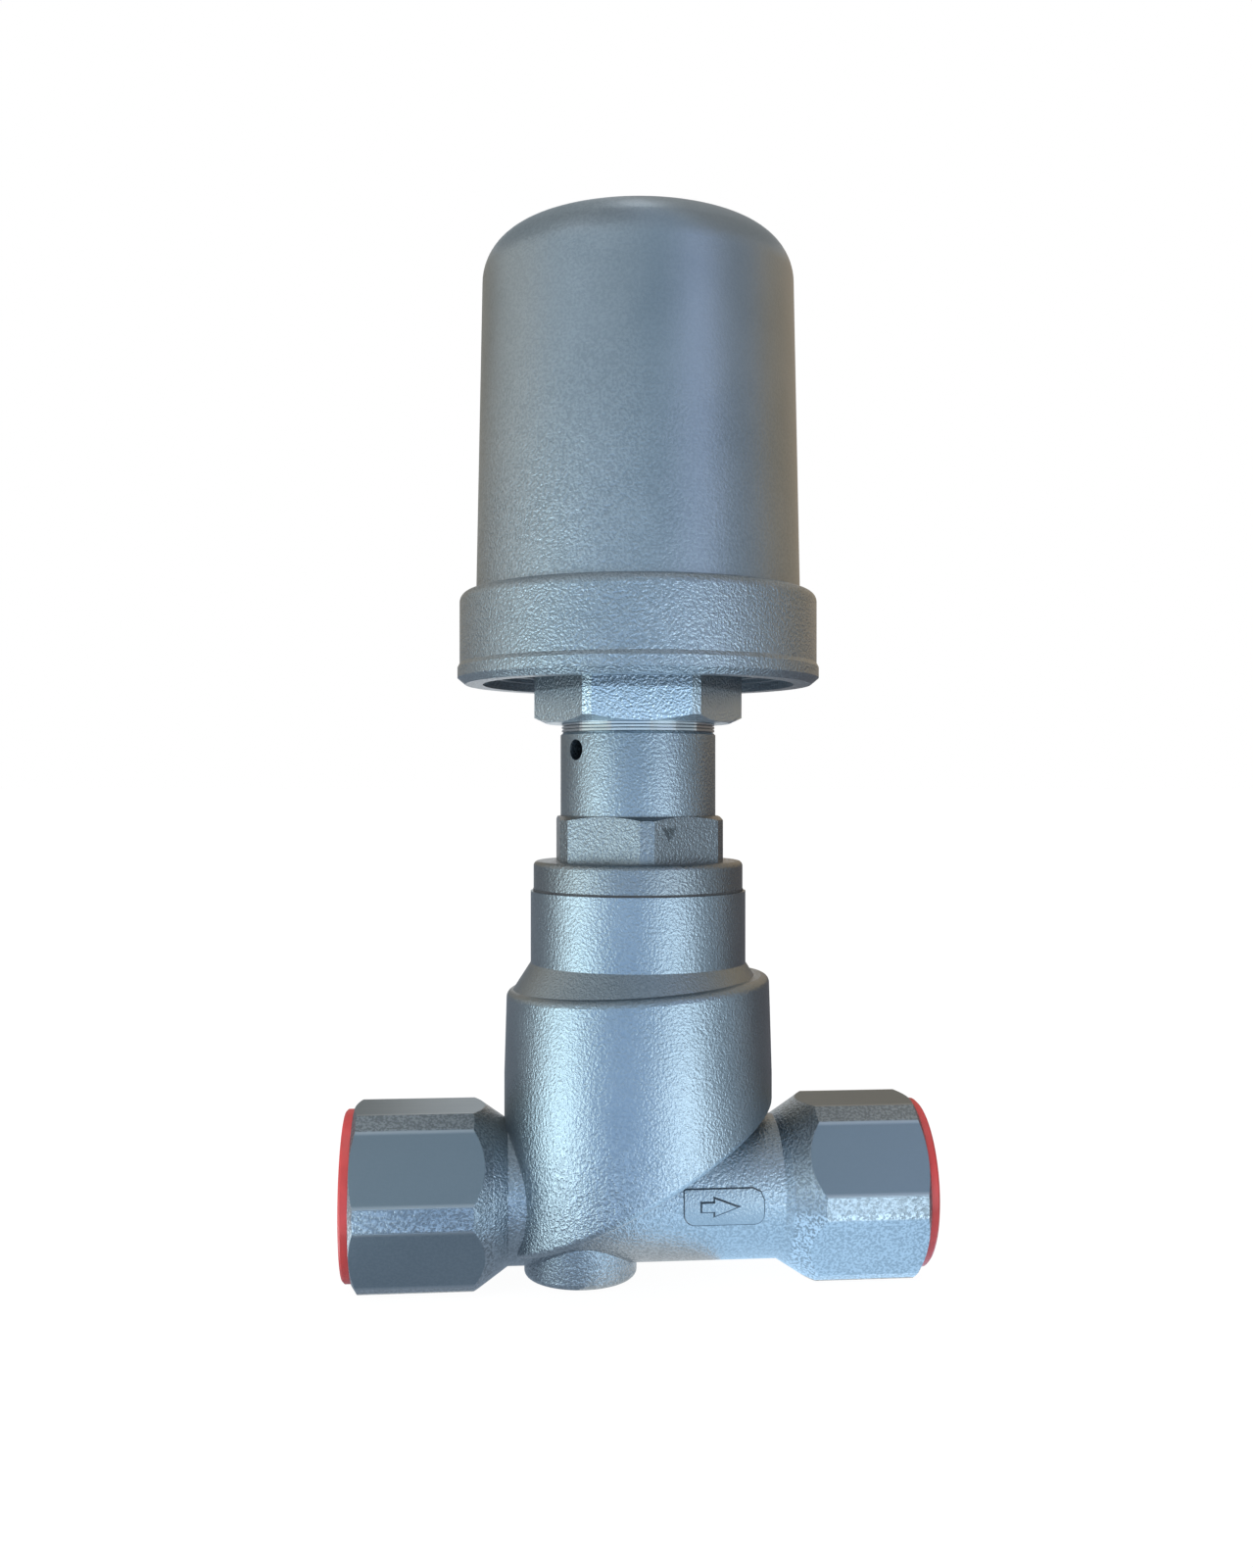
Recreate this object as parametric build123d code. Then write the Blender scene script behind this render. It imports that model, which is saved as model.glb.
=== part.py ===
from build123d import *
import math
import os

# Pneumatic seat valve, DN 25, straight-through cast body. Millimetres.
# X runs along the pipe with the flow, Z up the stem, and the origin is where the two axes cross.

# ports, G 1 female threads in hexagonal ends
inlet_end = 66.5
outlet_end = 65.5
port_across = 41.0
port_corner = 44.2
port_edge_radius = 20.4
port_edge_chamfer = 1.3
inlet_cone = (31.0, 38.5)
outlet_cone = (32.4, 40.6)
pipe_radius = 16.85
flow_radius = 12.5
thread_radius = 15.15
thread_depth = 19.0
mouth_radius = 16.9
mouth_depth = 3.0

# cast chamber and neck
chamber_radius = 31.7
chamber_taper = (28.0, 52.0, 31.0)
chamber_cavity = 27.0
chamber_rim_height = 3.4
chamber_rim_angle = 29.6
chamber_top_height = 49.4
chamber_top_angle = 3.4
chamber_ceiling = 44.0
casting_wall = 4.6
flare_radius = 30.0
flare_base = 47.0
flare_top = 54.0
neck_radius = 25.5
neck_bore = 20.5
neck_top = 70.9
boss_offset = -13.7
boss_radius = 13.3
boss_bottom = -19.8

# valve seat inside the chamber
seat_height = 18.5
seat_outer = 15.5

# bonnet
gasket_thickness = 0.5
bonnet_base = neck_top + gasket_thickness
bonnet_spigot = 20.45
bonnet_foot = 50.0
bonnet_flange_radius = 24.8
bonnet_flange_top = 78.0
bonnet_hex_across = 38.0
bonnet_hex_corner = 42.0
bonnet_hex_top = 88.6
bonnet_hex_fall = 1.1
tube_radius = 18.4
tube_top = 108.2
tube_thread_radius = 17.7
tube_end = 119.5
tube_bore = 13.0
gland_shelf = 96.0
packing_radius = 9.0
packing_floor = 56.0
weep_height = 104.0
weep_radius = 2.4
weep_turn = 57.0

# stem and plug
stem_radius = 5.0
shank_radius = 4.0
stem_shoulder = 21.55
stem_foot = 8.0
piston_seat_height = 133.0
stem_top = 160.0
running_gap = 0.05
plug_radius = 17.0
plug_seal_radius = 15.8
plug_top = 30.0
plug_hub_radius = 8.0
plug_hub_top = 35.0
seal_thickness = 3.0
nut_across = 13.0
nut_height = 6.0
washer_thickness = 2.0

# packing set, from the bottom up
packing_ring_count = 4
packing_ring_height = 3.2
packing_ring_rise = 1.6
packing_base_height = 3.0
packing_header_height = 3.2
disc_spring_count = 6
disc_spring_thickness = 0.9
gland_nose = 86.0
gland_flange_radius = 12.0
gland_flange_top = 99.5

# actuator base, one casting with its own hexagon
base_foot = 110.4
base_hex_across = 43.8
base_hex_corner = 49.2
base_hex_turn = -3.5
base_hex_rise = 1.5
base_thread_radius = 17.75
ring_bottom = 119.5
ring_land = (36.8, 40.9)
ring_lip = (121.0, 123.4, 124.4)
ring_foot_radius = 42.7
ring_radius = 42.2
ring_top = 141.0
ring_round = 2.3
recess_top = 124.5
recess_inner = 25.2
recess_steps = ((28.6, 123.3), (31.6, 122.4), (34.4, 121.5))
base_floor = 127.5
base_shelf = 120.5
spigot_floor = 134.0
spigot_shelf = 139.0
air_port_height = 129.5
air_port_face = 41.0
air_port_radius = 4.283
air_port_depth = 7.5
air_passage_radius = 1.9

# actuator cup and piston
bore_radius = 31.5
spigot_radius = 37.0
cup_foot_radius = 38.3
cup_shoulder_radius = 36.85
cup_shoulder = 214.0
cup_round = 11.0
cup_top = 225.0
cup_crown = 0.9
cup_ceiling = 217.5
vent_height = 204.0
vent_radius = 2.5
piston_radius = 31.4
piston_top = 149.0
piston_hub_radius = 9.5
piston_pocket = 138.0
piston_wall_inner = 27.5
seal_groove = (143.5, 147.0, 28.8)
wear_groove = (135.5, 139.5, 29.8)
spring_seat_bottom = 214.0
outer_spring = (22.5, 4.4, 3.4, 5.5)
inner_spring = (14.2, 2.8, 2.4, 7.5)

# plastic port caps
cap_radius = 19.75
cap_thickness = 2.2
cap_plug_length = 2.7
cap_plug_wall = 2.0
cap_dish_radius = 13.5
cap_dish_depth = 1.2


def turned(points):
    """A solid turned about Z from a closed outline of (radius, height) points."""
    outline = make_face(Polyline(*[(r, 0, z) for r, z in points], close=True))
    return revolve(outline, Axis.Z)


def ring(inner, outer, bottom, top):
    """A plain ring about Z."""
    return turned([(inner, bottom), (outer, bottom), (outer, top), (inner, top)])


def rod(radius, bottom, top):
    """A plain cylinder about Z."""
    return Pos(0, 0, bottom) * extrude(Circle(radius), top - bottom)


def pipe(radius, start, end):
    """A plain cylinder about X."""
    return Plane.YZ.offset(start) * extrude(Circle(radius), end - start)


def hexagon(across, corner_across, turn=0):
    """A hexagon whose corners are cut by a second hexagon, as on cast spanner flats."""
    flats = RegularPolygon(across / 2, 6, major_radius=False)
    corners = RegularPolygon(corner_across / 2, 6, major_radius=False, rotation=30)
    return Rot(0, 0, turn) * (flats & corners)


def hex_bar(across, corner_across, bottom, top, turn=0):
    """A hexagonal bar about Z."""
    return Pos(0, 0, bottom) * extrude(hexagon(across, corner_across, turn), top - bottom)


def slope_block(height, angle, above):
    """A large block above or below a plane that climbs along X at an angle."""
    reach = 400
    block = Box(reach, reach, reach)
    shift = reach / 2 if above else -reach / 2
    return Pos(0, 0, height) * Rot(0, -angle, 0) * Pos(0, 0, shift) * block


def port_end(end, cone):
    """One hexagonal port, pointing along +X, with turned chamfers at both ends of its flats."""
    top = port_corner / 2 + 0.3
    outline = [
        (0, cone[0] - 3),
        (pipe_radius, cone[0] - 3),
        (pipe_radius, cone[0]),
        (top, cone[1] + 0.5),
        (top, end - port_edge_chamfer),
        (port_edge_radius, end),
        (0, end),
    ]
    blank = Rot(0, 90, 0) * turned(outline)
    bar = Plane.YZ.offset(cone[0] - 3) * extrude(hexagon(port_across, port_corner), end)
    return blank & bar


def chamber():
    """The upright chamber: its lower rim follows the sloping partition inside it."""
    taper_start, taper_end, top_radius = chamber_taper
    shape = turned([(0, -40), (chamber_radius, -40), (chamber_radius, taper_start),
                    (top_radius, taper_end), (top_radius, 70), (0, 70)])
    shape -= slope_block(chamber_rim_height, chamber_rim_angle, above=False)
    shape -= slope_block(chamber_top_height, chamber_top_angle, above=True)
    ends = shape.faces().filter_by(GeomType.PLANE).sort_by(Axis.Z)
    shape = fillet(ends[0].edges(), 1.6)
    ends = shape.faces().filter_by(GeomType.PLANE).sort_by(Axis.Z)
    shape = fillet(ends[-1].edges(), 1.8)
    flare = turned([(0, flare_base), (flare_radius, flare_base), (neck_radius, flare_top), (0, flare_top)])
    return shape + flare


def foot_boss():
    """The short round boss under the chamber."""
    boss = Pos(boss_offset, 0, 0) * rod(boss_radius, boss_bottom, 0)
    return fillet(boss.edges().sort_by(Axis.Z)[0], 1.3)


def flow_path():
    """Inlet side over the sloping partition, outlet side under it, joined by the seat orifice."""
    above_slope = slope_block(chamber_rim_height + casting_wall, chamber_rim_angle, above=True)
    inlet = rod(chamber_cavity, -30, chamber_ceiling) + pipe(flow_radius, -inlet_end, 0)
    inlet = inlet & above_slope
    inlet += pipe(flow_radius, -inlet_end, -chamber_radius)
    inlet -= rod(seat_outer, -40, seat_height)
    outlet = pipe(flow_radius, 0, outlet_end) + Sphere(flow_radius) + rod(flow_radius, 0, seat_height + 1)
    return inlet + outlet


def port_bores():
    """Thread bores and their plain mouths at both ends."""
    cut = pipe(thread_radius, -inlet_end, -inlet_end + thread_depth)
    cut += pipe(mouth_radius, -inlet_end, -inlet_end + mouth_depth)
    cut += pipe(thread_radius, outlet_end - thread_depth, outlet_end)
    cut += pipe(mouth_radius, outlet_end - mouth_depth, outlet_end)
    return cut


def valve_body():
    body = pipe(pipe_radius, -inlet_cone[0], outlet_cone[0])
    body += port_end(outlet_end, outlet_cone)
    body += Rot(0, 0, 180) * port_end(inlet_end, inlet_cone)
    body += chamber()
    body += foot_boss()
    body += rod(neck_radius, chamber_ceiling, neck_top)
    body -= flow_path()
    body -= port_bores()
    body -= rod(neck_bore, chamber_ceiling - 1, neck_top + 1)
    return body


def bonnet():
    """Screwed bonnet with the packing chamber, its own spanner hexagon and the yoke tube."""
    top = bonnet_hex_corner / 2 + 0.5
    blank = turned([(0, bonnet_base), (top, bonnet_base), (top, bonnet_hex_top - bonnet_hex_fall),
                    (bonnet_hex_across / 2, bonnet_hex_top), (0, bonnet_hex_top)])
    shape = blank & hex_bar(bonnet_hex_across, bonnet_hex_corner, bonnet_base, bonnet_hex_top, 30)
    flange = rod(bonnet_flange_radius, bonnet_base, bonnet_flange_top)
    shape += fillet(flange.edges().sort_by(Axis.Z)[-1], 1.2)
    shape += rod(bonnet_spigot, bonnet_foot, bonnet_base)
    tube = rod(tube_radius, bonnet_hex_top, tube_top)
    shape += chamfer(tube.edges().sort_by(Axis.Z)[-1], 0.6)
    shape += rod(tube_thread_radius, tube_top, tube_end)
    shape -= rod(stem_guide_radius(), bonnet_foot - 1, packing_floor)
    shape -= rod(stem_radius + 1, packing_floor - 1, tube_end)
    shape -= rod(packing_radius, packing_floor, gland_shelf)
    shape -= rod(tube_bore, gland_shelf, tube_end + 1)
    weep = Pos(0, 0, weep_height) * Rot(0, 0, -90 - weep_turn) * Rot(0, 90, 0) * extrude(Circle(weep_radius), 30)
    return shape - weep


def stem_guide_radius():
    return stem_radius + 2.5


def v_ring(bottom):
    """One chevron packing ring that nests on the one below."""
    inner = stem_radius + running_gap
    outer = packing_radius - running_gap
    middle = (inner + outer) / 2
    top = bottom + packing_ring_height
    return turned([(inner, bottom), (middle, bottom + packing_ring_rise), (outer, bottom),
                   (outer, top), (middle, top + packing_ring_rise), (inner, top)])


def packing_base_ring():
    inner = stem_radius + running_gap
    outer = packing_radius - running_gap
    top = packing_floor + packing_base_height
    middle = (inner + outer) / 2
    return turned([(inner, packing_floor), (outer, packing_floor), (outer, top),
                   (middle, top + packing_ring_rise), (inner, top)])


def packing_v_rings():
    first = packing_floor + packing_base_height
    return Compound([v_ring(first + i * packing_ring_height) for i in range(packing_ring_count)])


def packing_header():
    inner = stem_radius + running_gap
    outer = packing_radius - running_gap
    bottom = packing_floor + packing_base_height + packing_ring_count * packing_ring_height
    top = bottom + packing_header_height
    middle = (inner + outer) / 2
    return turned([(inner, bottom), (middle, bottom + packing_ring_rise), (outer, bottom),
                   (outer, top), (inner, top)])


def disc_springs():
    """Coned washers, stacked back to back, that keep the packing loaded."""
    inner = stem_radius + 0.3
    outer = packing_radius - 0.3
    start = (packing_floor + packing_base_height + packing_ring_count * packing_ring_height
             + packing_header_height)
    pitch = (gland_nose - start) / disc_spring_count
    rise = pitch - disc_spring_thickness - 0.02
    washers = []
    for i in range(disc_spring_count):
        z = start + i * pitch + 0.01
        low, high = (0, rise) if i % 2 else (rise, 0)
        washers.append(turned([(inner, z + low), (outer, z + high),
                               (outer, z + high + disc_spring_thickness),
                               (inner, z + low + disc_spring_thickness)]))
    return Compound(washers)


def gland_bush():
    inner = stem_radius + running_gap
    outer = packing_radius - running_gap
    bush = ring(inner, outer, gland_nose, gland_shelf)
    head = ring(inner, gland_flange_radius, gland_shelf, gland_flange_top)
    for turn in (0, 90):
        head -= Rot(0, 0, turn) * Pos(0, 0, gland_flange_top) * Box(30, 3, 3)
    return bush + head


def stem():
    """Polished stem: shank and thread for the plug below, for the piston above."""
    shape = rod(shank_radius, stem_foot, stem_shoulder)
    shape += rod(stem_radius, stem_shoulder, piston_seat_height)
    shape += rod(shank_radius, piston_seat_height, stem_top)
    shape = chamfer(shape.edges().sort_by(Axis.Z)[0], 0.6)
    return chamfer(shape.edges().sort_by(Axis.Z)[-1], 0.6)


def plug():
    """The disc holder: a turned cup that carries the soft seal against the seat."""
    seal_bottom = stem_shoulder - seal_thickness
    lip = seal_bottom + 0.8
    inner = stem_radius + 0.02
    return turned([(inner, stem_shoulder), (plug_seal_radius, stem_shoulder), (plug_seal_radius, lip),
                   (plug_radius, lip), (plug_radius, plug_top - 2), (plug_radius - 2, plug_top),
                   (plug_hub_radius, plug_top), (plug_hub_radius, plug_hub_top - 1),
                   (plug_hub_radius - 1, plug_hub_top), (inner, plug_hub_top)])


def hex_nut(bottom):
    nut = hex_bar(nut_across, nut_across * 1.12, bottom, bottom + nut_height)
    return nut - rod(shank_radius, bottom - 1, bottom + nut_height + 1)


def actuator_base():
    """The lower casting: spanner hexagon, dished underside and the ring that takes the cup."""
    outline = [(0, recess_top), (recess_inner + 1.2, recess_top)]
    for radius, height in recess_steps:
        outline += [(radius, outline[-1][1]), (radius, height)]
    outline += [(ring_land[0], outline[-1][1]), (ring_land[0], ring_bottom), (ring_land[1], ring_bottom),
                (ring_foot_radius, ring_lip[0]), (ring_foot_radius, ring_lip[1]), (ring_radius, ring_lip[2]),
                (ring_radius, ring_top), (0, ring_top)]
    casting = turned(outline)
    rim = casting.edges().filter_by(GeomType.CIRCLE).sort_by(Axis.Z)[-1]
    casting = fillet(rim, ring_round)
    centre = turned([(0, base_foot), (base_hex_across / 2 - 0.1, base_foot),
                     (base_hex_corner / 2 + 0.4, base_foot + base_hex_rise),
                     (base_hex_corner / 2 + 0.4, recess_top + 1), (0, recess_top + 1)])
    spanner = centre & hex_bar(base_hex_across, base_hex_corner, base_foot, recess_top + 1, base_hex_turn)
    shape = casting + spanner
    shape -= rod(base_thread_radius, base_foot - 1, base_shelf)
    shape -= rod(stem_guide_radius(), base_shelf - 1, base_floor + 1)
    shape -= rod(rod_seal_radius(), rod_seal_bottom(), base_floor + 1)
    shape -= rod(bore_radius, base_floor, ring_top + 1)
    shape -= rod(spigot_radius + running_gap, spigot_floor, ring_top + 1)
    shape -= rod(cup_foot_radius + 0.25, spigot_shelf, ring_top + 1)
    return shape - air_port()


def rod_seal_radius():
    return stem_radius + 3.6


def rod_seal_bottom():
    return base_floor - 3.2


def air_port():
    """Pilot air port at the back: spot face, G 1/8 bore and the passage under the piston."""
    toward_back = Pos(0, 0, air_port_height) * Rot(-90, 0, 0)
    spot = toward_back * Pos(0, 0, air_port_face) * extrude(Circle(6.6), 5)
    thread = toward_back * Pos(0, 0, air_port_face - air_port_depth) * extrude(Circle(air_port_radius), 12)
    passage = toward_back * Pos(0, 0, bore_radius - 2) * extrude(Circle(air_passage_radius), 6)
    return spot + thread + passage


def guide_bush():
    return ring(stem_radius + running_gap, stem_guide_radius(), base_shelf, rod_seal_bottom())


def stem_guide():
    return ring(stem_radius + running_gap, stem_guide_radius(), bonnet_foot, packing_floor)


def rod_seal():
    """Lip seal that keeps the pilot air off the stem."""
    inner = stem_radius + running_gap
    outer = rod_seal_radius()
    low, high = rod_seal_bottom(), base_floor
    middle = (inner + outer) / 2
    return turned([(inner, low), (outer, low), (outer, high), (middle + 0.5, high), (middle, high - 1.4),
                   (middle - 0.5, high), (inner, high)])


def actuator_cup():
    """The cast cup: a tapered shell with a rounded, slightly crowned top and a bored cylinder inside."""
    crown = ThreePointArc((0, 0, cup_top + cup_crown), (cup_shoulder_radius / 2 - 1.5, 0, cup_top + cup_crown * 0.72),
                          (cup_shoulder_radius - cup_round, 0, cup_top))
    corner_mid = cup_round * math.sqrt(0.5)
    corner = ThreePointArc((cup_shoulder_radius - cup_round, 0, cup_top),
                           (cup_shoulder_radius - cup_round + corner_mid, 0, cup_top - cup_round + corner_mid),
                           (cup_shoulder_radius, 0, cup_shoulder))
    side = Polyline((cup_shoulder_radius, 0, cup_shoulder), (cup_foot_radius, 0, ring_top),
                    (cup_foot_radius, 0, spigot_shelf), (spigot_radius, 0, spigot_shelf),
                    (spigot_radius, 0, spigot_floor), (0, 0, spigot_floor), (0, 0, cup_top + cup_crown))
    shell = revolve(make_face([crown, corner, side]), Axis.Z)
    bore = rod(bore_radius, spigot_floor - 1, cup_ceiling)
    shell -= fillet(bore.edges().sort_by(Axis.Z)[-1], 3)
    shell -= ring(o_ring_track(), spigot_radius + 1, o_ring_height() - 1.1, o_ring_height() + 1.1)
    back = Pos(0, 0, vent_height) * Rot(-90, 0, 0) * Pos(0, 0, bore_radius - 2)
    return shell - back * extrude(Circle(vent_radius), 12)


def o_ring_height():
    return (spigot_floor + spigot_shelf) / 2


def o_ring_track():
    return spigot_radius - 2.05


def cup_o_ring():
    return Pos(0, 0, o_ring_height()) * Torus(spigot_radius - 1.03, 1.0)


def vent_plug():
    """Small sintered breather that lets the spring side of the cup breathe."""
    seat = 37.2
    shank = extrude(Circle(vent_radius - 0.02), seat - bore_radius + 0.2)
    head = Pos(0, 0, seat - bore_radius + 0.2) * extrude(RegularPolygon(4, 6, major_radius=False), 2.2)
    dome = Pos(0, 0, seat - bore_radius + 2.4) * extrude(Circle(2.6), 2.0)
    dome = fillet(dome.edges().sort_by(Axis.Z)[-1], 1.2)
    return Pos(0, 0, vent_height) * Rot(-90, 0, 0) * Pos(0, 0, bore_radius) * (shank + head + dome)


def piston():
    """Pocketed piston with grooves for its seal and wear ring."""
    shape = turned([(shank_radius + 0.02, piston_seat_height), (piston_radius - 1, piston_seat_height),
                    (piston_radius, piston_seat_height + 1), (piston_radius, piston_top),
                    (piston_wall_inner, piston_top), (piston_wall_inner - 1, piston_pocket),
                    (piston_hub_radius + 0.5, piston_pocket), (piston_hub_radius, piston_top),
                    (shank_radius + 0.02, piston_top)])
    for low, high, inner in (seal_groove, wear_groove):
        shape -= ring(inner, piston_radius + 1, low, high)
    return shape


def piston_ring(groove):
    low, high, inner = groove
    return ring(inner, bore_radius - running_gap, low, high)


def coil_spring(mean_radius, width, height, turns):
    """A flat-wire compression spring from the piston pocket to the upper seat, its ends ground flat."""
    length = spring_seat_bottom - piston_pocket
    path = Helix((length + height) / turns, length + height, mean_radius)
    start = Plane(path @ 0, x_dir=(1, 0, 0), z_dir=path % 0)
    wire = sweep(start * Rectangle(width, height), path=path, is_frenet=True)
    wire = Pos(0, 0, piston_pocket - height / 2) * wire
    return wire & rod(mean_radius + width, piston_pocket, spring_seat_bottom)


def spring_seat():
    """Pressed plate under the cup's ceiling that centres both springs."""
    return turned([(12.0, spring_seat_bottom), (27.0, spring_seat_bottom),
                   (27.0, cup_ceiling), (0, cup_ceiling), (0, spring_seat_bottom - 3),
                   (11.5, spring_seat_bottom - 3)])


def port_cap(end, side):
    """A plastic thread protector: a rim on the port's face and a short plug in its mouth."""
    plug_radius_out = mouth_radius - running_gap
    shape = turned([(0, end), (0, end + cap_thickness - cap_dish_depth),
                    (cap_dish_radius, end + cap_thickness - cap_dish_depth),
                    (cap_dish_radius + 0.8, end + cap_thickness), (cap_radius - 0.5, end + cap_thickness),
                    (cap_radius, end + cap_thickness - 0.5), (cap_radius, end),
                    (plug_radius_out, end), (plug_radius_out - 0.3, end - cap_plug_length),
                    (plug_radius_out - cap_plug_wall, end - cap_plug_length),
                    (plug_radius_out - cap_plug_wall, end)])
    return Rot(0, 90 * side, 0) * shape


nodes = {
    "valve_body": valve_body(),
    "body_gasket": ring(neck_bore + 0.1, neck_radius - 0.6, neck_top, bonnet_base),
    "bonnet": bonnet(),
    "stem_guide": stem_guide(),
    "packing_base_ring": packing_base_ring(),
    "packing_v_rings": packing_v_rings(),
    "packing_header": packing_header(),
    "disc_springs": disc_springs(),
    "gland_bush": gland_bush(),
    "stem": stem(),
    "plug": plug(),
    "disc_seal": ring(shank_radius, plug_seal_radius, stem_shoulder - seal_thickness, stem_shoulder),
    "disc_washer": ring(shank_radius, 9.0, stem_shoulder - seal_thickness - washer_thickness,
                        stem_shoulder - seal_thickness),
    "disc_nut": hex_nut(stem_shoulder - seal_thickness - washer_thickness - nut_height),
    "actuator_base": actuator_base(),
    "guide_bush": guide_bush(),
    "rod_seal": rod_seal(),
    "piston": piston(),
    "piston_seal": piston_ring(seal_groove),
    "piston_wear_ring": piston_ring(wear_groove),
    "piston_washer": ring(shank_radius, 9.0, piston_top, piston_top + washer_thickness),
    "piston_nut": hex_nut(piston_top + washer_thickness),
    "outer_spring": coil_spring(*outer_spring),
    "inner_spring": coil_spring(*inner_spring),
    "spring_seat": spring_seat(),
    "actuator_cup": actuator_cup(),
    "cup_o_ring": cup_o_ring(),
    "vent_plug": vent_plug(),
    "inlet_cap": port_cap(inlet_end, -1),
    "outlet_cap": port_cap(outlet_end, 1),
}

os.makedirs("parts", exist_ok=True)
for name, shape in nodes.items():
    export_step(shape, f"parts/{name}.step")
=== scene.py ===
import math
import bmesh
import bpy
from mathutils import Matrix, Vector


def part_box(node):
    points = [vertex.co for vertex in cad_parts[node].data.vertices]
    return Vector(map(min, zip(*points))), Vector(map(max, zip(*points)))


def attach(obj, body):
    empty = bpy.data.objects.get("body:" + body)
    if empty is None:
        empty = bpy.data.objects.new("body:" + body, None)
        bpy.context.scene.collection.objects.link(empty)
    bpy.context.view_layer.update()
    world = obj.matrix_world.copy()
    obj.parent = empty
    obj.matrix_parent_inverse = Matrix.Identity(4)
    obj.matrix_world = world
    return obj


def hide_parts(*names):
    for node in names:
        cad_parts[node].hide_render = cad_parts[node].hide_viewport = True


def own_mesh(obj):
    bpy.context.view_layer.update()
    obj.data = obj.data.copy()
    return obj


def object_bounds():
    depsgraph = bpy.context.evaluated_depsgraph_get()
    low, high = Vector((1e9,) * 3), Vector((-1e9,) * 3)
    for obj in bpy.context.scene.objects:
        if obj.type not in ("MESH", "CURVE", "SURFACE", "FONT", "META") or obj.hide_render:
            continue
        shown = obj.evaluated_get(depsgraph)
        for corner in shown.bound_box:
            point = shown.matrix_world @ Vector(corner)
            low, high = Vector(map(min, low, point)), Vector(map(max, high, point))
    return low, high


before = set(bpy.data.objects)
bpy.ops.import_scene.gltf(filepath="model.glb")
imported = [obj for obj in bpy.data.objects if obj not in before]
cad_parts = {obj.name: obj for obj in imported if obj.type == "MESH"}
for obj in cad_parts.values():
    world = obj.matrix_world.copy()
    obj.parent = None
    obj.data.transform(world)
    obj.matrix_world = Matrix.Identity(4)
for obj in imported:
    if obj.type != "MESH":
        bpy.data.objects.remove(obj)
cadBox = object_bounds()
mm = 0.001
print("frame loaded:", len(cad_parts), "nodes")

cameraPlace = {
    "away": 352.6,  # mm from the stem axis
    "height": 96.1,  # mm above the pipe axis
    "turn": 5.3,  # degrees towards the inlet side
    "aside": -2.73,  # mm the view is slid along its own width
    "lens": 34.02, "sensor": 36.0, "clip": 10.0,  # mm
}


def addCamera(place):
    turn = math.radians(place["turn"])
    ahead = Vector((math.sin(turn), math.cos(turn), 0))
    right = Vector((math.cos(turn), -math.sin(turn), 0))
    spot = (place["aside"] * right - place["away"] * ahead) * mm
    data = bpy.data.cameras.new("camera")
    data.lens = place["lens"]
    data.sensor_width = place["sensor"]
    data.clip_start = place["clip"] * mm
    camera = bpy.data.objects.new("camera", data)
    camera.location = (spot.x, spot.y, place["height"] * mm)
    camera.rotation_euler = (math.radians(90), 0, -turn)
    bpy.context.scene.collection.objects.link(camera)
    bpy.context.scene.camera = camera


addCamera(cameraPlace)
bpy.context.scene.view_settings.view_transform = "Standard"


class Wire:  # a shader node's output that takes part in sums
    def __init__(self, tree, socket):
        self.tree = tree
        self.socket = socket

    def maths(self, operation, *values):
        return self.tree.add("ShaderNodeMath", {"operation": operation}, dict(enumerate(values)))

    def __add__(self, other):
        return self.maths("ADD", self, other)

    def __radd__(self, other):
        return self.maths("ADD", other, self)

    def __sub__(self, other):
        return self.maths("SUBTRACT", self, other)

    def __rsub__(self, other):
        return self.maths("SUBTRACT", other, self)

    def __mul__(self, other):
        return self.maths("MULTIPLY", self, other)

    def __rmul__(self, other):
        return self.maths("MULTIPLY", other, self)

    def __abs__(self):
        return self.maths("ABSOLUTE", self)

    def max(self, other):
        return self.maths("MAXIMUM", self, other)

    def step(self, low, high):  # rises smoothly from 0 to 1 between two values
        return self.tree.add("ShaderNodeMapRange", {"interpolation_type": "SMOOTHSTEP"},
                             {"Value": self, "From Min": low, "From Max": high})

    def stepMm(self, low, high):
        return self.step(low * mm, high * mm)


class Tree:  # a node tree, with one method that makes any node
    def __init__(self, tree):
        self.nodes = tree.nodes
        self.links = tree.links

    def add(self, kind, settings, sockets, output=0):
        node = self.nodes.new(kind)
        for key, value in settings.items():
            setattr(node, key, value)
        for key, value in sockets.items():
            if isinstance(value, Wire):
                self.links.new(value.socket, node.inputs[key])
            else:
                node.inputs[key].default_value = value
        return Wire(self, node.outputs[output])

    def find(self, kind):
        return next(n for n in self.nodes if n.type == kind)

    def backdropRays(self):
        rays = [self.add("ShaderNodeLightPath", {}, {}, ray)
                for ray in ("Is Camera Ray", "Is Glossy Ray", "Is Transmission Ray")]
        return rays[0].max(rays[1]).max(rays[2])


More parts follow.
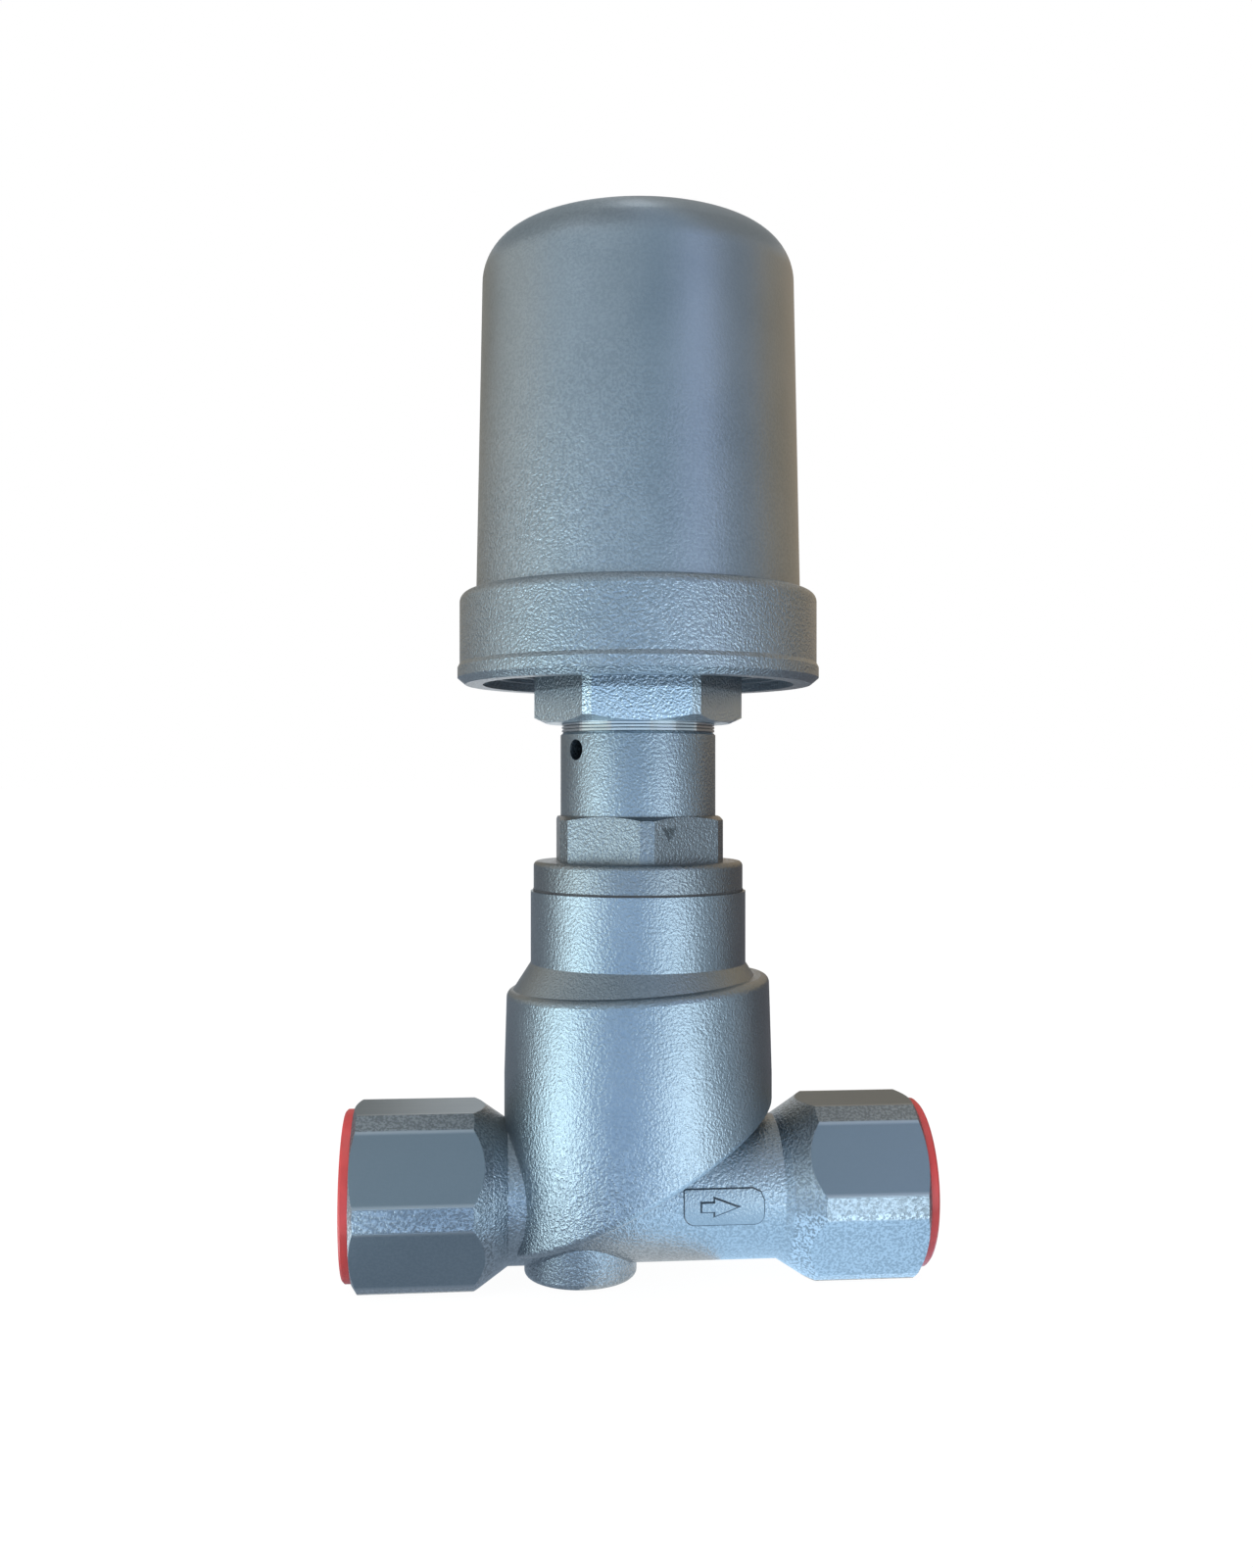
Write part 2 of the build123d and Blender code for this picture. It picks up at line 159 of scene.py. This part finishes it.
class Surface(Tree):  # a material whose varying inputs are fed by wires
    def __init__(self, name, **constants):
        self.material = bpy.data.materials.new(name)
        self.material.use_nodes = True
        super().__init__(self.material.node_tree)
        self.shader = self.find("BSDF_PRINCIPLED")
        for key, value in constants.items():
            self.shader.inputs[key].default_value = value

    def place(self):
        return self.add("ShaderNodeTexCoord", {}, {}, "Object")

    def split(self, vector):
        return [self.add("ShaderNodeSeparateXYZ", {}, {"Vector": vector}, axis) for axis in "XYZ"]

    def noise(self, vector, scale, detail=2.0, roughness=0.5):
        sockets = {"Vector": vector, "Scale": scale, "Detail": detail, "Roughness": roughness}
        return self.add("ShaderNodeTexNoise", {}, sockets, "Fac")

    def mix(self, share, first, second):  # inputs 6 and 7 and output 2 are the colour ones
        first, second = [c if isinstance(c, Wire) else (*c, 1) for c in (first, second)]
        return self.add("ShaderNodeMix", {"data_type": "RGBA"}, {"Factor": share, 6: first, 7: second}, 2)

    def stretch(self, vector, scale):
        return self.add("ShaderNodeMapping", {}, {"Vector": vector, "Scale": scale})

    def bump(self, height, depth, strength=1.0):
        normal = self.add("ShaderNodeBump", {}, {"Height": height, "Distance": depth, "Strength": strength})
        self.feed("Normal", normal)

    def feed(self, socket, wire):
        self.links.new(wire.socket, self.shader.inputs[socket])


castLook = {
    "grain": 1650.0, "fine": 3200.0, "patches": 26.0,  # noise scales
    "grainShare": 0.75, "depth": 0.00021,
    "dark": (0.225, 0.265, 0.295), "pale": (0.275, 0.315, 0.345), "patchEdges": (0.3, 0.7),
    "glint": (0.44, 0.50, 0.55), "glintShare": 0.12, "speckEdges": (0.35, 0.65),
    "rough": 0.29, "roughPatches": 0.06, "roughFine": 0.08,
}


def castSteel(name, look, finish=None):  # shot-blasted investment casting
    s = Surface(name, Metallic=1.0)
    place = s.place()
    grain = s.noise(place, look["grain"], detail=1.0)
    fine = s.noise(place, look["fine"], detail=1.0)
    patches = s.noise(place, look["patches"], detail=3.0, roughness=0.6)
    height = grain * look["grainShare"] + fine * (1 - look["grainShare"])
    colour = s.mix(patches.step(*look["patchEdges"]), look["dark"], look["pale"])
    # painted glints: the glint colour makes pale grain tips stand in for the light they catch
    colour = s.mix(grain.step(*look["speckEdges"]) * look["glintShare"], colour, look["glint"])
    rough = look["rough"] + look["roughPatches"] * patches + look["roughFine"] * fine
    if finish:
        height, colour, rough = finish(s, place, height, colour, rough)
    s.feed("Base Color", colour)
    s.feed("Roughness", rough)
    s.bump(height, look["depth"])
    return s.material


def paintedGlints(s, place, colour, share, edges):  # painted glints: pale grain tips over a share of the surface, standing in for the light they catch
    grains = s.noise(place, castLook["grain"], detail=1.0).step(*edges)
    return s.mix(share * grains, colour, castLook["glint"])


hexLook = {
    "sine": 0.866,
    "flat": (20.38, 20.47), "corner": (21.6, 22.0), "starts": (34.0, 34.5),  # mm over which each fades in
    "ground": (0.185, 0.235, 0.27), "groundShare": 0.85, "edgeWearAndSheen": (0.62, 0.65, 0.67), "edgeWearAndSheenShare": 0.35,
    "corners": (0.14, 0.15, 0.155), "cornersShare": 0.4,
    "lines": (60, 1500, 1500), "lineHeight": 0.06, "smooth": 0.88, "rough": 0.34, "roughLines": 0.08,
    "castBelow": (-2.0, -1.0), "middle": (-1.0, 1.0),
    "castInlet": 0.25, "castOutlet": 0.85,  # how far the lower flats are left as cast
    "pipe": (0.0, 26.0), "pipeGrain": 0.6,
    "pipeSpecks": 0.45, "cornerSpecks": 0.45, "castSpecks": 0.8, "speckEdges": (0.38, 0.64),
}


def hexReach(across, along):  # the greatest reach over the three directions of a hexagon's sides
    slant, part = along * hexLook["sine"], across * 0.5
    return abs(across).max(abs(part + slant)).max(abs(part - slant))


# ground spanner flats on the ports, while the corners and the pipe stay as cast
def groundFlats(s, place, height, colour, rough):
    k = hexLook
    x, y, z = s.split(place)
    ends = abs(x).stepMm(*k["starts"])
    atFlat = hexReach(z, y).stepMm(*k["flat"])
    castShare = x.stepMm(*k["middle"]) * (k["castOutlet"] - k["castInlet"]) + k["castInlet"]
    asCast = (1 - z.stepMm(*k["castBelow"])) * castShare
    onFlat = atFlat * ends * (1 - asCast)
    # worn edges of the flats, painted paler with a painted highlight along them
    wornSheenEdges = onFlat * hexReach(y, z).stepMm(*k["corner"])
    onCorners = (1 - atFlat) * ends
    onPipe = (1 - z.stepMm(*k["pipe"])) * (1 - ends)
    lines = s.noise(s.stretch(place, k["lines"]), 1.0, detail=2.0, roughness=0.6)
    colour = s.mix(onFlat * k["groundShare"], colour, k["ground"])
    colour = s.mix(wornSheenEdges * k["edgeWearAndSheenShare"], colour, k["edgeWearAndSheen"])
    colour = s.mix(onCorners * k["cornersShare"], colour, k["corners"])
    # painted glints on the pipe, the corners and the flats left as cast
    specks = onPipe * k["pipeSpecks"] + onCorners * k["cornerSpecks"] + ends * asCast * k["castSpecks"]
    colour = paintedGlints(s, place, colour, specks * (1 - onFlat), k["speckEdges"])
    rough = rough * (1 - onFlat) + onFlat * (k["rough"] + lines * k["roughLines"])
    height = height * (1 - onFlat * k["smooth"]) * (1 + onPipe * k["pipeGrain"])
    height = height + onFlat * lines * k["lineHeight"]
    return height, colour, rough


cupLook = {
    "lines": (12, 12, 2400), "lineHeight": 0.05, "lineRough": 0.05,
    "lineColour": (0.30, 0.35, 0.39), "lineShare": 0.15,
    "lower": (150, 205), "left": (-12, 22), "wobble": 20, "wobbleScale": 60.0,  # mm
    "grainy": 0.20, "grainyLow": 0.36, "grainyLeft": 0.95, "highShare": 0.4,
    "specks": 0.32, "speckEdges": (0.36, 0.64),
}


# skimmed on a lathe high up and round the right, grainy lower left
def turnedCup(s, place, height, colour, rough):
    k = cupLook
    x, _, z = s.split(place)
    lines = s.noise(s.stretch(place, k["lines"]), 1.0, detail=3.0, roughness=0.6)
    lower = 1 - z.stepMm(*k["lower"])
    left = 1 - (x + s.noise(place, k["wobbleScale"]) * (k["wobble"] * mm)).stepMm(*k["left"])
    leftShare = k["highShare"] + (1 - k["highShare"]) * lower
    grainy = k["grainy"] + k["grainyLow"] * lower + k["grainyLeft"] * left * leftShare
    height = height * grainy + lines * k["lineHeight"]
    colour = s.mix(lines * k["lineShare"], colour, k["lineColour"])
    # the grainy parts also get more painted glints
    colour = paintedGlints(s, place, colour, grainy * k["specks"], k["speckEdges"])
    return height, colour, rough + k["lineRough"] * lines


bonnetLook = {
    "below": (88.6, 88.9), "lower": (0.185, 0.195, 0.20), "lowerShare": 0.6,  # the hexagon and all below it
    "x": 5.2, "z": 85.6, "wide": 2.0, "tall": 3.6, "edges": (0.55, 1.0), "top": (85.9, 86.5),
    "front": (-13.0, -12.0),
    "stain": (0.07, 0.08, 0.085), "share": 0.9, "mottle": 900.0, "least": 0.5,
}


def stainedHex(s, place, height, colour, rough):  # a small dark stain that narrows downwards on one flat
    k = bonnetLook
    x, y, z = s.split(place)
    colour = s.mix((1 - z.stepMm(*k["below"])) * k["lowerShare"], colour, k["lower"])
    width = abs(x - k["x"] * mm) * (1 / k["wide"]) + (k["z"] * mm - z) * (1 / k["tall"])
    spot = (1 - width.stepMm(*k["edges"])) * (1 - z.stepMm(*k["top"])) * (1 - y.stepMm(*k["front"]))
    spot = spot * (k["least"] + (1 - k["least"]) * s.noise(place, k["mottle"]))
    return height, s.mix(spot * k["share"], colour, k["stain"]), rough


baseLook = {"below": (117.5, 118.5), "hexagon": (0.50, 0.58, 0.63)}


def paintedLitBase(s, place, height, colour, rough):  # the wrench hexagon under the ring is painted paler than the ring, a painted highlight for the light its flats catch
    z = s.split(place)[2]
    return height, s.mix(1 - z.stepMm(*baseLook["below"]), colour, baseLook["hexagon"]), rough


turnedLook = {"lines": (40, 40, 3000), "dim": 0.8, "roughLines": 0.12, "depth": 0.00003, "strength": 0.5}


def turnedSteel(name, colour, rough):
    k = turnedLook
    s = Surface(name, Metallic=1.0)
    lines = s.noise(s.stretch(s.place(), k["lines"]), 1.0, detail=2.0, roughness=0.6)
    s.feed("Base Color", s.mix(lines, tuple(c * k["dim"] for c in colour), colour))
    s.feed("Roughness", rough + k["roughLines"] * lines)
    s.bump(lines, k["depth"], k["strength"])
    return s.material


plasticLook = {
    "cloud": 120.0, "fine": 2200.0, "cloudEdges": (0.3, 0.7), "roughFine": 0.12,
    "depth": 0.00004, "strength": 0.6,
}


def mouldedPlastic(name, pale, dark, rough=0.38):
    k = plasticLook
    s = Surface(name)
    place = s.place()
    cloud = s.noise(place, k["cloud"], detail=3.0)
    fine = s.noise(place, k["fine"], detail=2.0)
    s.feed("Base Color", s.mix(cloud.step(*k["cloudEdges"]), dark, pale))
    s.feed("Roughness", rough + k["roughFine"] * fine)
    s.bump(fine, k["depth"], k["strength"])
    return s.material


beadLook = {
    "scale": 2600.0, "pale": (0.62, 0.42, 0.20), "dark": (0.34, 0.21, 0.09),
    "rough": 0.45, "roughBeads": 0.2, "depth": 0.00015, "strength": 0.8,
}


def sintered(name, k):
    s = Surface(name, Metallic=1.0)
    beads = s.add("ShaderNodeTexVoronoi", {}, {"Vector": s.place(), "Scale": k["scale"]}, "Distance")
    s.feed("Base Color", s.mix(beads, k["pale"], k["dark"]))
    s.feed("Roughness", k["rough"] + k["roughBeads"] * beads)
    s.bump(1 - beads, k["depth"], k["strength"])
    return s.material


# painted shade for the side walls of the pad and arrow, standing in for the shadow lines round their edges
paintedShadeLook = {
    **castLook, "dark": (0.09, 0.11, 0.13), "pale": (0.13, 0.155, 0.18), "depth": 0.0001, "rough": 0.5,
}
finishes = {
    "body": castSteel("bodyCasting", castLook, groundFlats),
    "cast": castSteel("plainCasting", castLook),
    "base": castSteel("baseCasting", {**castLook, "glintShare": 0.34, "depth": 0.00033}, paintedLitBase),
    "paintedShade": castSteel("paintedShadeWalls", paintedShadeLook),
    "cup": castSteel("cupCasting", {**castLook, "glintShare": 0.0}, turnedCup),
    "bonnet": castSteel("bonnetCasting", {**castLook, "depth": 0.00025}, stainedHex),
    "turned": turnedSteel("turnedSteel", (0.62, 0.64, 0.66), 0.16),
    "springWire": turnedSteel("springWire", (0.45, 0.46, 0.48), 0.28),
    "polished": turnedSteel("polishedThread", (0.66, 0.69, 0.71), 0.08),
    "ptfe": mouldedPlastic("ptfe", (0.86, 0.86, 0.82), (0.74, 0.74, 0.70)),
    "gasket": mouldedPlastic("gasketSheet", (0.06, 0.065, 0.07), (0.03, 0.03, 0.035), 0.6),
    "rubber": mouldedPlastic("sealRubber", (0.035, 0.035, 0.04), (0.02, 0.02, 0.022), 0.55),
    "bronze": sintered("sinteredBronze", beadLook),
    "piston": turnedSteel("machinedAluminium", (0.78, 0.79, 0.80), 0.30),
    "red": mouldedPlastic("redCap", (0.56, 0.045, 0.045), (0.44, 0.03, 0.03), 0.36),
}
nodeFinish = {  # the nodes not named here are turned steel
    "valve_body": "body", "bonnet": "bonnet", "actuator_base": "base", "actuator_cup": "cup",
    "body_gasket": "gasket", "rod_seal": "rubber", "piston_seal": "rubber", "cup_o_ring": "rubber",
    "guide_bush": "bronze", "vent_plug": "bronze", "piston": "piston",
    "outer_spring": "springWire", "inner_spring": "springWire", "disc_springs": "springWire",
    "inlet_cap": "red", "outlet_cap": "red",
    "stem_guide": "ptfe", "packing_base_ring": "ptfe", "packing_v_rings": "ptfe", "packing_header": "ptfe",
    "disc_seal": "ptfe", "piston_wear_ring": "ptfe",
}
for nodeName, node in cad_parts.items():
    node.data.materials.clear()
    node.data.materials.append(finishes[nodeFinish.get(nodeName, "turned")])
print("finishes set on", len(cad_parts), "nodes")


def addPiece(name, bm, finish, body="valve", wallFinish=None):  # wallFinish is for faces marked 1
    bmesh.ops.recalc_face_normals(bm, faces=bm.faces)
    mesh = bpy.data.meshes.new(name)
    mesh.materials.append(finishes[finish])
    if wallFinish:
        mesh.materials.append(finishes[wallFinish])
    bm.to_mesh(mesh)
    bm.free()
    piece = bpy.data.objects.new(name, mesh)
    bpy.context.scene.collection.objects.link(piece)
    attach(piece, body)
    return piece


arrowPad = {
    "left": 8.6, "right": 27.6, "bottom": -4.75, "top": 4.15, "draft": 0.40, "foot": -0.12, "proud": 0.36,
    "plain": (-3.6, 3.4),  # the side walls between these levels stay as pale as the pad, the rest get painted shade
    "corners": ((0.5, 1), (3.0, 6), (2.4, 5), (2.9, 2)),  # offset and segments, from the top left down
    "pipeRadius": 16.85, "slice": 0.6, "reach": 6.0, "merge": 1e-7,
}
arrowShape = {
    "tail": 12.5, "shoulder": 15.5, "tip": 22.1, "tailHalf": 1.35, "headHalf": 2.5, "level": -0.15,
    "draft": 0.42, "proud": 0.42, "sunk": 0.03, "plain": (0.0, 0.0),
}


def raisePlate(bm, face, draft, foot, proud, plain):  # gives a flat face sloping walls, outwards along -Y
    face.normal_update()
    bmesh.ops.inset_region(bm, faces=[face], thickness=draft * mm, use_boundary=True, use_even_offset=True)
    inner = set(face.verts)
    for f in bm.faces:
        level = f.calc_center_median().z / mm
        f.material_index = 0 if f == face or plain[0] < level < plain[1] else 1
    for v in bm.verts:
        v.co.y = (-proud if v in inner else -foot) * mm


def wrapOnPipe(bm, pad):  # bends a plate drawn in X and Z round the front of the pipe
    for i in range(int(2 * pad["reach"] / pad["slice"]) + 1):
        level = (i * pad["slice"] - pad["reach"]) * mm
        bmesh.ops.bisect_plane(bm, geom=bm.verts[:] + bm.edges[:] + bm.faces[:], dist=pad["merge"],
                               plane_co=(0, 0, level), plane_no=(0, 0, 1))
    for v in bm.verts:
        out = pad["pipeRadius"] * mm - v.co.y
        v.co.y = -math.sqrt(max(out * out - v.co.z * v.co.z, 0))


def flowPad(pad):  # the raised pad on the outlet pipe
    bm = bmesh.new()
    spots = [(pad["left"], pad["top"]), (pad["left"], pad["bottom"]),
             (pad["right"], pad["bottom"]), (pad["right"], pad["top"])]
    corners = [bm.verts.new((x * mm, 0, z * mm)) for x, z in spots]
    bm.faces.new(corners)
    for v, (offset, segments) in zip(corners, pad["corners"]):
        bmesh.ops.bevel(bm, geom=[v], offset=offset * mm, affect="VERTICES", segments=segments,
                        profile=0.5, material=-1)
    bm.faces.ensure_lookup_table()
    raisePlate(bm, bm.faces[0], pad["draft"], pad["foot"], pad["proud"], pad["plain"])
    wrapOnPipe(bm, pad)
    return bm


def flowArrow(arrow, pad):  # a plain raised arrow on the pad
    bm = bmesh.new()
    half = [(arrow["tail"], -arrow["tailHalf"]), (arrow["shoulder"], -arrow["tailHalf"]),
            (arrow["shoulder"], -arrow["headHalf"]), (arrow["tip"], 0)]
    outline = half + [(x, -z) for x, z in reversed(half[:-1])]
    face = bm.faces.new([bm.verts.new((x * mm, 0, (z + arrow["level"]) * mm)) for x, z in outline])
    foot, top = pad["proud"] - arrow["sunk"], pad["proud"] + arrow["proud"]
    raisePlate(bm, face, arrow["draft"], foot, top, arrow["plain"])
    wrapOnPipe(bm, pad)
    return bm


# the pad's outer walls and all the arrow's walls get painted shade
addPiece("flow_pad", flowPad(arrowPad), "cast", wallFinish="paintedShade")
addPiece("flow_arrow", flowArrow(arrowShape, arrowPad), "cast", wallFinish="paintedShade")


def startProfile(points):  # a closed outline of radius and height in mm, to be turned about Z
    bm = bmesh.new()
    verts = [bm.verts.new((r * mm, 0, z * mm)) for r, z in points]
    edges = [bm.edges.new((verts[i], verts[(i + 1) % len(verts)])) for i in range(len(verts))]
    return bm, verts, edges


collar = {
    "inner": 17.6, "root": 17.66, "crest": 18.15, "bottom": 108.22,
    "pitch": 0.74, "groove": 0.14, "ridges": 3, "steps": 128,
}


def threadCollar(c):  # bright turned ridges between the bonnet tube and the actuator's hexagon
    points = [(c["inner"], c["bottom"])]
    for i in range(c["ridges"]):
        z = c["bottom"] + i * c["pitch"]
        points += [(c["root"], z), (c["crest"], z + c["groove"]), (c["crest"], z + c["pitch"] - c["groove"])]
    top = c["bottom"] + c["ridges"] * c["pitch"]
    points += [(c["root"], top), (c["inner"], top)]
    bm, verts, edges = startProfile(points)
    bmesh.ops.spin(bm, geom=verts + edges, cent=(0, 0, 0), axis=(0, 0, 1), angle=math.tau, steps=c["steps"],
                   use_merge=True, use_duplicate=False)
    return bm


addPiece("thread_collar", threadCollar(collar), "polished")

turnSteps = 48  # steps in each turn of a thread or a spring


def coil(profile, sections):  # winds a closed profile of (radius, height) through (turns, rise) sections
    bm, verts, edges = startProfile(profile)
    bm.faces.new(verts)
    last = verts + edges
    for turns, rise in sections:
        steps = int(turns * turnSteps)
        wound = bmesh.ops.spin(bm, geom=last, cent=(0, 0, 0), axis=(0, 0, 1), dvec=(0, 0, rise / steps * mm),
                               angle=math.tau * turns, steps=steps, use_duplicate=False)
        last = [g for g in wound["geom_last"] if not isinstance(g, bmesh.types.BMFace)]
    bmesh.ops.holes_fill(bm, edges=[e for e in bm.edges if e.is_boundary])
    return bm


threadForm = {"half": 0.42, "crest": 0.08, "proud": 0.10, "sunk": 0.05}  # shares of the pitch, sunk in mm
threadSizes = {
    "inlet_thread": {"radius": 15.15, "start": -63.4, "length": 15.6, "pitch": 2.309, "axis": "X"},
    "outlet_thread": {"radius": 15.15, "start": 47.9, "length": 15.6, "pitch": 2.309, "axis": "X"},
    "air_thread": {"radius": 4.283, "start": 33.7, "length": 6.9, "pitch": 0.907, "axis": "Y"},
}
airLevel = 129.5


def innerThread(size):  # a female thread's ridges inside its bore
    p = size["pitch"]
    half, crest = threadForm["half"] * p, threadForm["crest"] * p
    wall, top = size["radius"] + threadForm["sunk"], size["radius"] - threadForm["proud"] * p
    profile = [(wall, p / 2 - half), (top, p / 2 - crest), (top, p / 2 + crest), (wall, p / 2 + half)]
    turns = int((size["length"] - p) / p)
    bm = coil(profile, [(turns, turns * p)])
    onX = size["axis"] == "X"
    turn = Matrix.Rotation(math.radians(90), 3, "Y") if onX else Matrix.Rotation(math.radians(-90), 3, "X")
    bmesh.ops.rotate(bm, cent=(0, 0, 0), matrix=turn, verts=bm.verts)
    along = Vector((size["start"], 0, 0)) if onX else Vector((0, size["start"], airLevel))
    bmesh.ops.translate(bm, vec=along * mm, verts=bm.verts)
    return bm


for threadName, size in threadSizes.items():
    addPiece(threadName, innerThread(size), "turned")

springSizes = {  # flat wire, one dead coil at each end
    "outer_coil": {"node": "outer_spring", "mean": 22.5, "wide": 4.4, "tall": 3.4, "live": 3.5},
    "inner_coil": {"node": "inner_spring", "mean": 14.2, "wide": 2.8, "tall": 2.4, "live": 5.5},
}
wireChamfer = 0.25  # a share of the wire's height


def springCoil(size, bottom, top):
    m, w, t, c = size["mean"], size["wide"] / 2, size["tall"], wireChamfer * size["tall"]
    profile = [(m - w + c, 0), (m + w - c, 0), (m + w, c), (m + w, t - c), (m + w - c, t), (m - w + c, t),
               (m - w, t - c), (m - w, c)]
    live = top - bottom - 3 * t  # what the two dead coils and the wire's own height leave
    return coil([(r, z + bottom) for r, z in profile], [(1, t), (size["live"], live), (1, t)])


for coilName, size in springSizes.items():
    low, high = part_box(size["node"])
    bottom, top = low[2] / mm, high[2] / mm
    piece = addPiece(coilName, springCoil(size, bottom, top), "springWire")
    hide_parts(size["node"])
    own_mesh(piece)
print("new pieces added")

studio = {  # lengths are in metres, but floorDrop is in mm
    "floorDrop": 0.3, "floorSize": 60.0, "floorShow": 0.90, "floorGlow": 1.065,
    "floorColour": (0.86, 0.86, 0.86), "floorRough": 0.9, "worldLight": 0.60, "aim": (0, 0, 0.11),
    "wall": 0.50, "matRise": 0.0005, "nearFrom": 0.02, "matFrom": 0.085, "matTop": 0.05, "tier": 0.15,
    "wallTop": 0.46, "roofGap": 0.02, "roofHole": 0.04, "ceiling": 0.62, "curtainSteps": 6,
}
lamps = {
    "keyLeft": {"at": (-0.55, -0.60, 0.50), "size": (0.5, 0.5), "watts": 3.0, "colour": (0.95, 0.98, 1.0)},
    "top": {"at": (0.0, -0.1, 1.1), "size": (0.9, 0.9), "watts": 6.0, "colour": (1.0, 1.0, 1.0)},
}
# degrees round from the front, the outlet side positive, and the colour that the metal sees there
nearMats = {
    "nearLeft": (-178, -9, (0.40, 0.47, 0.56)),
    "nearRight": (-7, 178, (1.05, 1.45, 1.85)),
}
mats = {
    "leftMat": (-87, -52, (3.6, 4.4, 4.6)),
    "frontMat": (-48, 12, (0.72, 1.05, 1.55)),
    "rightMat": (16, 48, (2.9, 3.5, 3.9)),
    "rightFadeMat": (50, 86, (0.45, 0.55, 0.65)),
    "rightDarkMat": (90, 168, (0.16, 0.15, 0.16)),
    "leftDarkMat": (-170, -96, (0.24, 0.26, 0.30)),
}
lowCurtains = {
    "leftLight": (-95, -49, (0.92, 1.08, 1.08)),
    "frontLow": (-47, 12, (0.80, 1.04, 1.28)),
    "rightLight": (14, 50, (0.76, 0.94, 1.08)),
    "rightFade": (52, 88, (0.45, 0.55, 0.62)),
    "rightDark": (90, 168, (0.20, 0.18, 0.17)),
    "leftDark": (-170, -99, (0.26, 0.28, 0.31)),
}
highCurtains = {
    "leftHigh": (-122, -76, (0.92, 0.90, 0.84)),
    "frontHighLeft": (-74, -16, (0.25, 0.36, 0.44)),
    "frontHigh": (-14, 22, (0.40, 0.54, 0.66)),
    "rightHigh": (24, 48, (0.86, 1.00, 1.38)),
    "rightSide": (50, 84, (0.38, 0.43, 0.50)),
    "rightBack": (86, 172, (0.62, 0.48, 0.33)),
    "leftBack": (-172, -124, (0.42, 0.36, 0.28)),
}
roof = {
    "roofLeft": (-178, -52, (0.36, 0.39, 0.40)),
    "roofFrontLeft": (-50, -8, (0.10, 0.13, 0.16)),
    "roofFrontRight": (-6, 38, (0.40, 0.50, 0.62)),
    "roofRight": (40, 178, (0.40, 0.39, 0.37)),
}


def addLamp(name, lamp):
    data = bpy.data.lights.new(name, "AREA")
    data.shape = "RECTANGLE"
    data.size, data.size_y = lamp["size"]
    data.energy = lamp["watts"]
    data.color = lamp["colour"]
    light = bpy.data.objects.new(name, data)
    light.location = lamp["at"]
    light.rotation_euler = (Vector(studio["aim"]) - Vector(lamp["at"])).to_track_quat("-Z", "Y").to_euler()
    bpy.context.scene.collection.objects.link(light)


def addStage(name, bm, material):
    mesh = bpy.data.meshes.new(name)
    bm.to_mesh(mesh)
    bm.free()
    mesh.materials.append(material)
    sheet = bpy.data.objects.new(name, mesh)
    bpy.context.scene.collection.objects.link(sheet)
    return sheet


def addCurtain(name, start, end, line, colour):  # a curved card that only the metal sees
    bm = bmesh.new()
    verts = [bm.verts.new((0, -r, z)) for r, z in line]
    edges = [bm.edges.new(pair) for pair in zip(verts, verts[1:])]
    bmesh.ops.rotate(bm, cent=(0, 0, 0), matrix=Matrix.Rotation(math.radians(start), 3, "Z"), verts=verts)
    bmesh.ops.spin(bm, geom=verts + edges, cent=(0, 0, 0), axis=(0, 0, 1), angle=math.radians(end - start),
                   steps=studio["curtainSteps"], use_duplicate=False)
    s = Surface(name)
    glow = s.add("ShaderNodeEmission", {}, {"Color": (*colour, 1), "Strength": 1.0})
    s.links.new(glow.socket, s.find("OUTPUT_MATERIAL").inputs["Surface"])
    sheet = addStage(name, bm, s.material)
    sheet.visible_camera = False
    sheet.visible_shadow = False
    sheet.visible_diffuse = False


def addFloor():
    bm = bmesh.new()
    bmesh.ops.create_grid(bm, x_segments=1, y_segments=1, size=studio["floorSize"] / 2)
    s = Surface("paleFloor", Roughness=studio["floorRough"])
    s.shader.inputs["Base Color"].default_value = (*studio["floorColour"], 1)
    glow = s.add("ShaderNodeEmission", {}, {"Color": (1, 1, 1, 1), "Strength": studio["floorGlow"]})
    body = Wire(s, s.shader.outputs[0])
    both = s.add("ShaderNodeMixShader", {}, {0: s.backdropRays() * studio["floorShow"], 1: body, 2: glow})
    s.links.new(both.socket, s.find("OUTPUT_MATERIAL").inputs["Surface"])
    floor = addStage("floor", bm, s.material)
    floor.location = (0, 0, cadBox[0][2] - studio["floorDrop"] * mm)


def addWorld():
    world = bpy.data.worlds.new("studio")
    world.use_nodes = True
    bpy.context.scene.world = world
    tree = Tree(world.node_tree)
    background = tree.find("BACKGROUND")
    background.inputs["Color"].default_value = (1, 1, 1, 1)
    level = studio["worldLight"] + tree.backdropRays() * (1 - studio["worldLight"])
    tree.links.new(level.socket, background.inputs["Strength"])


for lampName, lamp in lamps.items():
    addLamp(lampName, lamp)
wall, matLevel = studio["wall"], cadBox[0][2] + studio["matRise"]
rings = [  # each with the line of radius and height that its cards follow
    (nearMats, [(studio["nearFrom"], matLevel), (studio["matFrom"], matLevel)]),
    (mats, [(studio["matFrom"], matLevel), (wall, matLevel), (wall, studio["matTop"])]),
    (lowCurtains, [(wall, studio["matTop"]), (wall, studio["tier"])]),
    (highCurtains, [(wall, studio["tier"]), (wall, studio["wallTop"])]),
    (roof, [(wall, studio["wallTop"] + studio["roofGap"]), (studio["roofHole"], studio["ceiling"])]),
]
for ring, line in rings:
    for cardName, (start, end, colour) in ring.items():
        addCurtain(cardName, start, end, line, colour)
addFloor()
addWorld()
print("studio set")
